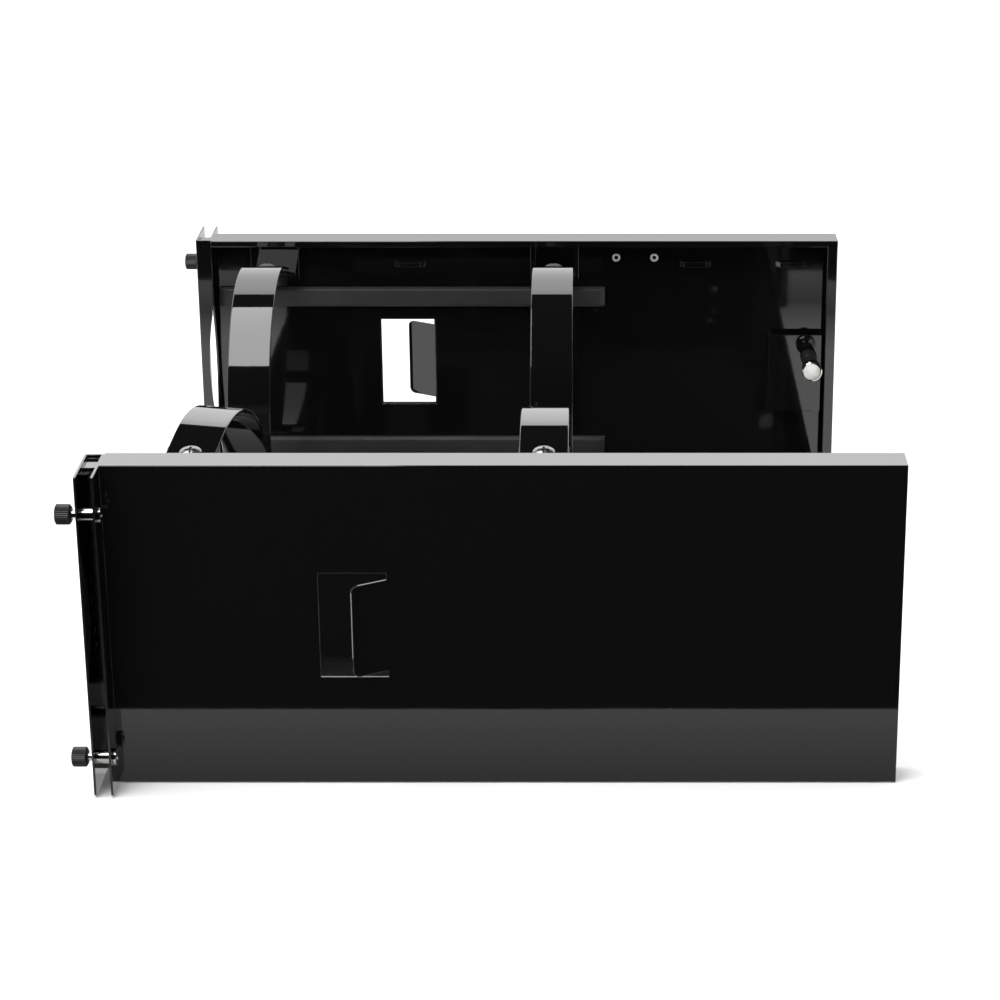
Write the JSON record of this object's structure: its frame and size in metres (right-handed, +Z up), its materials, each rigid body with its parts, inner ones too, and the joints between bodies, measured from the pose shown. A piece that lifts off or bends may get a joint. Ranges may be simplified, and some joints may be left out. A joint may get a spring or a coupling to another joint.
{
  "type": "napkin dispenser",
  "caption": "Twin-sided gloss black sheet-metal holder with swivelling strap hoops, tabbed windows, captive thumbscrews and pull plungers.",
  "frame": {"origin": "centre of the bounding box at the underside of the base pan", "axes": "+X along the side panels away from the end channels, +Y from the front panel to the back panel, +Z up"},
  "size_m": [0.5158, 0.59, 0.212],
  "materials": {
    "gloss_black_coat": "high-gloss black powder coat with fine orange peel",
    "satin_pad": "satin black closed-cell strip",
    "satin_black_knob": "satin black anodised or blackened, straight knurl on the knobs",
    "bright_chrome": "bright nickel and chrome plate",
    "zinc_steel": "zinc plated steel",
    "white_nylon": "natural nylon washer"
  },
  "bodies": {
    "frame": {"base_pan": "gloss_black_coat", "pan_rivets": "zinc_steel", "front_hoop_screws": "zinc_steel", "back_hoop_screws": "satin_black_knob", "hoop_washers": "white_nylon", "hoop_nuts": "zinc_steel", "thumbscrew_sleeves": "bright_chrome", "front_skin": "gloss_black_coat", "front_liner": "gloss_black_coat", "front_clinch_nuts": "zinc_steel", "front_end_channel": "gloss_black_coat", "front_upper_pad": "satin_pad", "front_lower_pad": "satin_pad", "front_left_foot": "gloss_black_coat", "front_right_foot": "gloss_black_coat", "front_plunger_bracket": "gloss_black_coat", "front_plunger_barrel": "satin_black_knob", "front_plunger_nut": "zinc_steel", "back_skin": "gloss_black_coat", "back_liner": "gloss_black_coat", "back_clinch_nuts": "zinc_steel", "back_end_channel": "gloss_black_coat", "back_upper_pad": "satin_pad", "back_lower_pad": "satin_pad", "back_left_foot": "gloss_black_coat", "back_right_foot": "gloss_black_coat", "back_plunger_bracket": "gloss_black_coat", "back_plunger_barrel": "satin_black_knob", "back_plunger_nut": "zinc_steel", "front_upper_spring": "zinc_steel", "front_lower_spring": "zinc_steel", "front_plunger_spring": "zinc_steel", "back_upper_spring": "zinc_steel", "back_lower_spring": "zinc_steel", "back_plunger_spring": "zinc_steel"},
    "front_upper_carrier": {"front_upper_thrust_ring": "zinc_steel"},
    "front_upper_thumbscrew": {"front_upper_knob": "satin_black_knob", "front_upper_screw": "bright_chrome"},
    "front_lower_carrier": {"front_lower_thrust_ring": "zinc_steel"},
    "front_lower_thumbscrew": {"front_lower_knob": "satin_black_knob", "front_lower_screw": "bright_chrome"},
    "front_plunger": {"front_pull_pin": "bright_chrome"},
    "front_left_hoop_arm": {"front_left_hoop": "gloss_black_coat"},
    "front_right_hoop_arm": {"front_right_hoop": "gloss_black_coat"},
    "back_upper_carrier": {"back_upper_thrust_ring": "zinc_steel"},
    "back_upper_thumbscrew": {"back_upper_knob": "satin_black_knob", "back_upper_screw": "bright_chrome"},
    "back_lower_carrier": {"back_lower_thrust_ring": "zinc_steel"},
    "back_lower_thumbscrew": {"back_lower_knob": "satin_black_knob", "back_lower_screw": "bright_chrome"},
    "back_plunger": {"back_pull_pin": "bright_chrome"},
    "back_left_hoop_arm": {"back_left_hoop": "gloss_black_coat"},
    "back_right_hoop_arm": {"back_right_hoop": "gloss_black_coat"}
  },
  "joints": [
    {"name": "front_upper_push", "type": "slide", "parent": "frame", "child": "front_upper_carrier", "axis": [1, 0, 0], "range_m": [0, 0.0032], "stiffness_N_per_m": 1200, "springref_m": -0.002, "deforming": ["front_upper_spring"]},
    {"name": "front_upper_turn", "type": "hinge", "parent": "front_upper_carrier", "child": "front_upper_thumbscrew", "pos_m": [-0.2441, -0.286, 0.1855], "axis": [1, 0, 0], "continuous": true},
    {"name": "front_lower_push", "type": "slide", "parent": "frame", "child": "front_lower_carrier", "axis": [1, 0, 0], "range_m": [0, 0.0032], "stiffness_N_per_m": 1200, "springref_m": -0.002, "deforming": ["front_lower_spring"]},
    {"name": "front_lower_turn", "type": "hinge", "parent": "front_lower_carrier", "child": "front_lower_thumbscrew", "pos_m": [-0.2441, -0.286, 0.024], "axis": [1, 0, 0], "continuous": true},
    {"name": "front_plunger_pull", "type": "slide", "parent": "frame", "child": "front_plunger", "axis": [0, 1, 0], "range_m": [0, 0.006], "stiffness_N_per_m": 900, "springref_m": -0.004, "deforming": ["front_plunger_spring"]},
    {"name": "front_left_hoop_swivel", "type": "hinge", "parent": "frame", "child": "front_left_hoop_arm", "pos_m": [-0.1848, -0.216, 0.1994], "axis": [0, -0.2924, 0.9563], "range_deg": [-12, 28]},
    {"name": "front_right_hoop_swivel", "type": "hinge", "parent": "frame", "child": "front_right_hoop_arm", "pos_m": [0.0362, -0.216, 0.1994], "axis": [0, -0.2924, 0.9563], "range_deg": [-20, 20]},
    {"name": "back_upper_push", "type": "slide", "parent": "frame", "child": "back_upper_carrier", "axis": [1, 0, 0], "range_m": [0, 0.0032], "stiffness_N_per_m": 1200, "springref_m": -0.002, "deforming": ["back_upper_spring"]},
    {"name": "back_upper_turn", "type": "hinge", "parent": "back_upper_carrier", "child": "back_upper_thumbscrew", "pos_m": [-0.2441, 0.286, 0.1855], "axis": [1, 0, 0], "continuous": true},
    {"name": "back_lower_push", "type": "slide", "parent": "frame", "child": "back_lower_carrier", "axis": [1, 0, 0], "range_m": [0, 0.0032], "stiffness_N_per_m": 1200, "springref_m": -0.002, "deforming": ["back_lower_spring"]},
    {"name": "back_lower_turn", "type": "hinge", "parent": "back_lower_carrier", "child": "back_lower_thumbscrew", "pos_m": [-0.2441, 0.286, 0.024], "axis": [1, 0, 0], "continuous": true},
    {"name": "back_plunger_pull", "type": "slide", "parent": "frame", "child": "back_plunger", "axis": [0, -1, 0], "range_m": [0, 0.006], "stiffness_N_per_m": 900, "springref_m": -0.004, "deforming": ["back_plunger_spring"]},
    {"name": "back_left_hoop_swivel", "type": "hinge", "parent": "frame", "child": "back_left_hoop_arm", "pos_m": [-0.1848, 0.216, 0.1994], "axis": [0, 0.2924, 0.9563], "range_deg": [-20, 20]},
    {"name": "back_right_hoop_swivel", "type": "hinge", "parent": "frame", "child": "back_right_hoop_arm", "pos_m": [0.0362, 0.216, 0.1994], "axis": [0, 0.2924, 0.9563], "range_deg": [-20, 20]}
  ]
}
